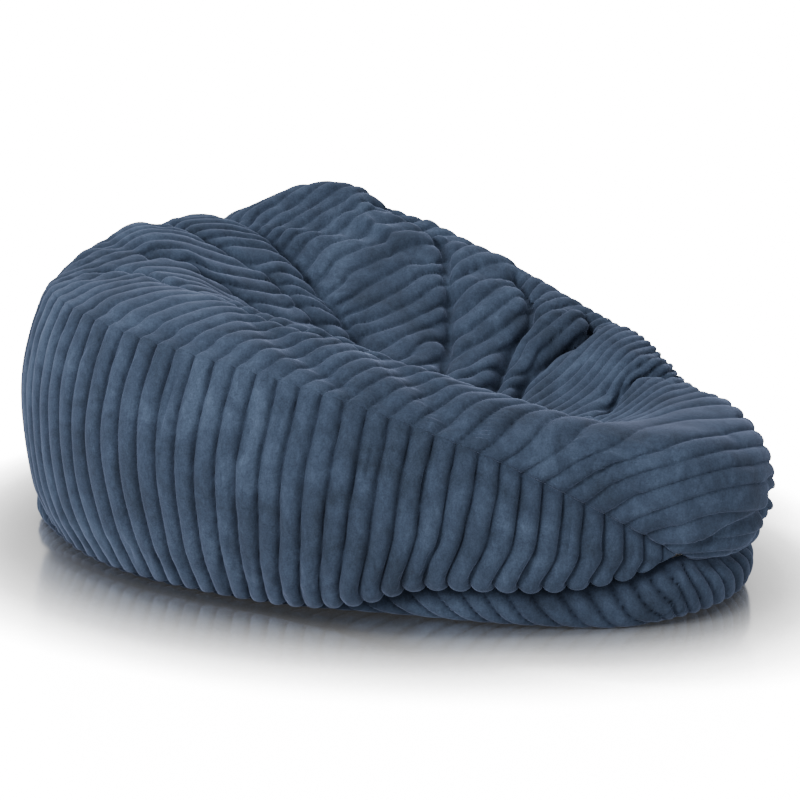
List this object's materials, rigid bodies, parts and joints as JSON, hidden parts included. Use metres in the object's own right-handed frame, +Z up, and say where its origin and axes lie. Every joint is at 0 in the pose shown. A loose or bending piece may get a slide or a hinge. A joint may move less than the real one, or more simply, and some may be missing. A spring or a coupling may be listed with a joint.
{
  "type": "bean bag chair",
  "caption": "Low lounger bean bag chair in wide-rib cord plush, with a dipped seat, a raised head end, a zipped cover and an inner liner full of beads.",
  "frame": {"origin": "on the floor, below the centre of the bag's bounding box", "axes": "+Z up, -Y to the nose where the sitter's legs go, +Y to the raised head end, +X to the sitter's left"},
  "size_m": [0.8942, 1.1435, 0.4383],
  "materials": {
    "cover_cord": "navy wide-rib cord plush",
    "zip_tape": "woven navy tape",
    "zip_teeth": "moulded nylon",
    "zip_metal": "nickel-plated",
    "label_cloth": "plain woven white",
    "liner_cloth": "plain woven off-white",
    "beads": "expanded polystyrene beads"
  },
  "bodies": {
    "bag": {"seat_panel": "cover_cord", "back_panel": "cover_cord", "side_panel_left": "cover_cord", "side_panel_right": "cover_cord", "base_panel": "cover_cord", "cover_zip_tape_upper": "zip_tape", "cover_zip_tape_lower": "zip_tape", "cover_zip_teeth_upper": "zip_teeth", "cover_zip_teeth_lower": "zip_teeth", "cover_zip_stop_left": "zip_metal", "cover_zip_stop_right": "zip_metal", "care_label": "label_cloth", "inner_liner": "liner_cloth", "liner_zip_tape_upper": "zip_tape", "liner_zip_tape_lower": "zip_tape", "liner_zip_teeth_upper": "zip_teeth", "liner_zip_teeth_lower": "zip_teeth", "liner_zip_stop_left": "zip_metal", "liner_zip_stop_right": "zip_metal", "bead_fill": "beads"},
    "cover_zip_slider": {"cover_zip_slider": "zip_metal"},
    "cover_zip_pull": {"cover_zip_pull": "zip_metal"},
    "liner_zip_slider": {"liner_zip_slider": "zip_metal"}
  },
  "joints": [
    {"name": "cover_zip_slide", "type": "slide", "parent": "bag", "child": "cover_zip_slider", "axis": [-1, 0, 0], "range_m": [0, 0.364]},
    {"name": "cover_zip_pull_swing", "type": "hinge", "parent": "cover_zip_slider", "child": "cover_zip_pull", "pos_m": [0.182, 0.5274, 0.062], "axis": [0, 0, 1], "range_deg": [0, 180]},
    {"name": "liner_zip_slide", "type": "slide", "parent": "bag", "child": "liner_zip_slider", "axis": [-1, 0, 0], "range_m": [0, 0.364]}
  ]
}
